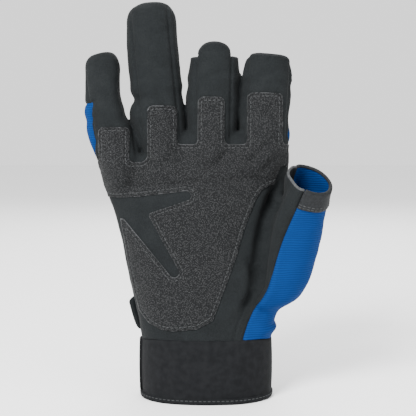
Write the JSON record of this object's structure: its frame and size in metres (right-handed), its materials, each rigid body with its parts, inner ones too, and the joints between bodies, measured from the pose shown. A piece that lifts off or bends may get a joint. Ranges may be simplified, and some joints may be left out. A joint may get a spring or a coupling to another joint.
{
  "type": "sailing glove",
  "caption": "Right-hand sailing glove with closed and open fingers, a grip-patched palm, a stretch back and a wrist cuff with a hook-and-loop closure tab",
  "frame": {"origin": "on the surface the cuff stands on, under the centre of the glove's bounding box", "axes": "+X towards the thumb, +Y out of the back of the hand, +Z from the cuff to the fingertips"},
  "size_m": [0.1364, 0.0673, 0.2197],
  "materials": {
    "black_suede": "matte synthetic suede",
    "grip_patch": "pebbled matte",
    "stretch_back": "fine ribbed knit",
    "cuff_fabric": "smooth laminated neoprene"
  },
  "bodies": {
    "hand": {"cuff_band": "cuff_fabric", "cuff_binding": "cuff_fabric", "cuff_edge_strip": "cuff_fabric", "palm_panel": "black_suede", "back_panel": "stretch_back", "thumb_palm_panel": "black_suede", "thumb_back_panel": "stretch_back", "palm_patch": "grip_patch", "web_little_ring": "black_suede", "web_ring_middle": "black_suede", "web_middle_index": "black_suede", "loop_pad": "cuff_fabric", "tab_root": "black_suede"},
    "closure": {"closure_tab": "black_suede", "hook_tape": "cuff_fabric"},
    "little_base": {"little_prox_front": "black_suede", "little_prox_back": "stretch_back", "little_prox_inner": "black_suede", "little_patch": "grip_patch"},
    "little_tip": {"little_dist_front": "black_suede", "little_dist_cap": "black_suede", "little_dist_inner": "black_suede"},
    "ring_base": {"ring_prox_front": "black_suede", "ring_prox_back": "stretch_back", "ring_prox_outer": "black_suede", "ring_prox_inner": "black_suede", "ring_patch": "grip_patch"},
    "ring_tip": {"ring_dist_front": "black_suede", "ring_dist_cap": "black_suede", "ring_dist_outer": "black_suede", "ring_dist_inner": "black_suede"},
    "middle_base": {"middle_prox_front": "black_suede", "middle_prox_back": "stretch_back", "middle_prox_outer": "black_suede", "middle_prox_inner": "black_suede", "middle_patch": "grip_patch"},
    "middle_tip": {"middle_dist_front": "black_suede", "middle_dist_back": "stretch_back", "middle_dist_outer": "black_suede", "middle_dist_inner": "black_suede", "middle_rim": "black_suede"},
    "index_base": {"index_prox_front": "black_suede", "index_prox_back": "stretch_back", "index_prox_outer": "black_suede", "index_patch": "grip_patch"},
    "index_tip": {"index_dist_front": "black_suede", "index_dist_back": "stretch_back", "index_dist_outer": "black_suede", "index_rim": "black_suede"},
    "thumb_tip": {"thumb_tip_front": "black_suede", "thumb_tip_back": "stretch_back", "thumb_hem": "black_suede"}
  },
  "joints": [
    {"name": "closure_open", "type": "hinge", "parent": "hand", "child": "closure", "pos_m": [0.0272, 0.02742, 0.0445], "axis": [0, 0, -1], "range_deg": [0, 150]},
    {"name": "little_knuckle", "type": "hinge", "parent": "hand", "child": "little_base", "pos_m": [-0.0491, -0.0097, 0.138], "axis": [0.9848, 0, 0.1736], "range_deg": [0, 70], "stiffness_Nm_per_rad": 0.05},
    {"name": "little_middle_joint", "type": "hinge", "parent": "little_base", "child": "little_tip", "pos_m": [-0.05327, -0.00735, 0.16164], "axis": [0.9848, 0, 0.1736], "range_deg": [0, 80], "stiffness_Nm_per_rad": 0.04},
    {"name": "ring_knuckle", "type": "hinge", "parent": "hand", "child": "ring_base", "pos_m": [-0.0246, -0.0105, 0.148], "axis": [0.9951, 0, 0.0993], "range_deg": [0, 70], "stiffness_Nm_per_rad": 0.05},
    {"name": "ring_middle_joint", "type": "hinge", "parent": "ring_base", "child": "ring_tip", "pos_m": [-0.02718, -0.0089, 0.17387], "axis": [0.9951, 0, 0.0993], "range_deg": [0, 80], "stiffness_Nm_per_rad": 0.04},
    {"name": "middle_knuckle", "type": "hinge", "parent": "hand", "child": "middle_base", "pos_m": [0.0025, -0.0109, 0.148], "axis": [0.9998, 0, -0.0175], "range_deg": [0, 70], "stiffness_Nm_per_rad": 0.05},
    {"name": "middle_middle_joint", "type": "hinge", "parent": "middle_base", "child": "middle_tip", "pos_m": [0.00295, -0.00913, 0.174], "axis": [0.9998, 0, -0.0175], "range_deg": [0, 80], "stiffness_Nm_per_rad": 0.04},
    {"name": "index_knuckle", "type": "hinge", "parent": "hand", "child": "index_base", "pos_m": [0.0307, -0.0107, 0.148], "axis": [0.9982, 0, -0.0593], "range_deg": [0, 70], "stiffness_Nm_per_rad": 0.05},
    {"name": "index_middle_joint", "type": "hinge", "parent": "index_base", "child": "index_tip", "pos_m": [0.03209, -0.00899, 0.17146], "axis": [0.9982, 0, -0.0593], "range_deg": [0, 80], "stiffness_Nm_per_rad": 0.04},
    {"name": "thumb_bend", "type": "hinge", "parent": "hand", "child": "thumb_tip", "pos_m": [0.03677, -0.0136, 0.10975], "axis": [-0.1456, -0.891, -0.43], "range_deg": [0, 35], "stiffness_Nm_per_rad": 0.05}
  ]
}
